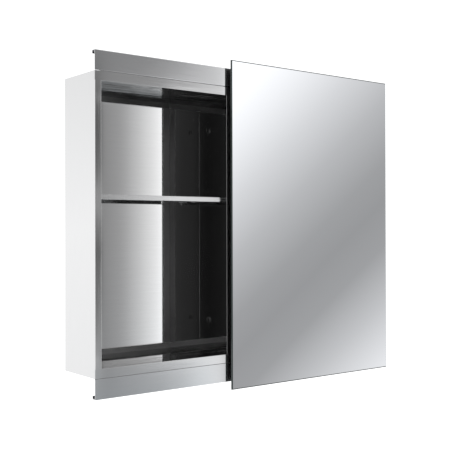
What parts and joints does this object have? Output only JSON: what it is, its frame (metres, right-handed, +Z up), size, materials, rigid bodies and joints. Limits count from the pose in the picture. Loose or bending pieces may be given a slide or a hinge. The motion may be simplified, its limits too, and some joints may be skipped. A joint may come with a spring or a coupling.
{
  "type": "medicine cabinet with mirror",
  "caption": "Wall-mounted stainless-steel bathroom cabinet with shelves and a frameless mirror that slides sideways on rails to open either compartment.",
  "frame": {"origin": "centre of the rectangle of wall holes, on the wall plane", "axes": "+X to the right seen from the front, +Y into the wall (the front faces -Y), +Z up"},
  "size_m": [0.75, 0.1263, 0.65],
  "materials": {
    "body_steel": "polished stainless steel with a fine horizontal grain",
    "shelf_steel": "brushed stainless steel",
    "rail_steel": "brushed stainless steel, grain along the rail",
    "fastener_steel": "plain",
    "cap_plastic": "moulded, glossy",
    "mirror_glass": "silvered, ground edge",
    "backing": "black safety backing",
    "adhesive": "foam mounting tape",
    "carrier_steel": "black powder coat",
    "nylon": "natural acetal",
    "stop_rubber": "moulded"
  },
  "bodies": {
    "cabinet": {"left_side_panel": "body_steel", "right_side_panel": "body_steel", "top_panel": "body_steel", "bottom_panel": "body_steel", "back_panel": "body_steel", "divider_panel": "body_steel", "top_liner": "body_steel", "bottom_liner": "body_steel", "divider_plugs": "cap_plastic", "left_shelf": "shelf_steel", "right_shelf": "shelf_steel", "left_shelf_pegs": "fastener_steel", "right_shelf_pegs": "fastener_steel", "top_rail": "rail_steel", "bottom_rail": "rail_steel", "top_rail_studs": "fastener_steel", "top_rail_nuts": "fastener_steel", "bottom_rail_studs": "fastener_steel", "bottom_rail_nuts": "fastener_steel", "top_rail_stops": "stop_rubber", "bottom_rail_stops": "stop_rubber"},
    "mirror_door": {"mirror_glass": "mirror_glass", "backing_plate": "backing", "adhesive_strips": "adhesive", "left_carrier": "carrier_steel", "right_carrier": "carrier_steel", "left_axle": "fastener_steel", "right_axle": "fastener_steel", "axle_clips": "fastener_steel", "left_guide": "nylon", "right_guide": "nylon", "guide_screws": "fastener_steel"},
    "roller_left": {"left_roller": "nylon"},
    "roller_right": {"right_roller": "nylon"}
  },
  "joints": [
    {"name": "door_slide", "type": "slide", "parent": "cabinet", "child": "mirror_door", "axis": [1, 0, 0], "range_m": [-0.294, 0]},
    {"name": "roller_left_spin", "type": "hinge", "parent": "mirror_door", "child": "roller_left", "pos_m": [-0.018, -0.11, 0.31625], "axis": [0, 1, 0], "range_deg": [-2592, 0]},
    {"name": "roller_right_spin", "type": "hinge", "parent": "mirror_door", "child": "roller_right", "pos_m": [0.312, -0.11, 0.31625], "axis": [0, 1, 0], "range_deg": [-2592, 0]}
  ],
  "couplings": [
    {"joint": "roller_left_spin", "follows": "door_slide", "rad_per_m": 153.85},
    {"joint": "roller_right_spin", "follows": "door_slide", "rad_per_m": 153.85}
  ]
}
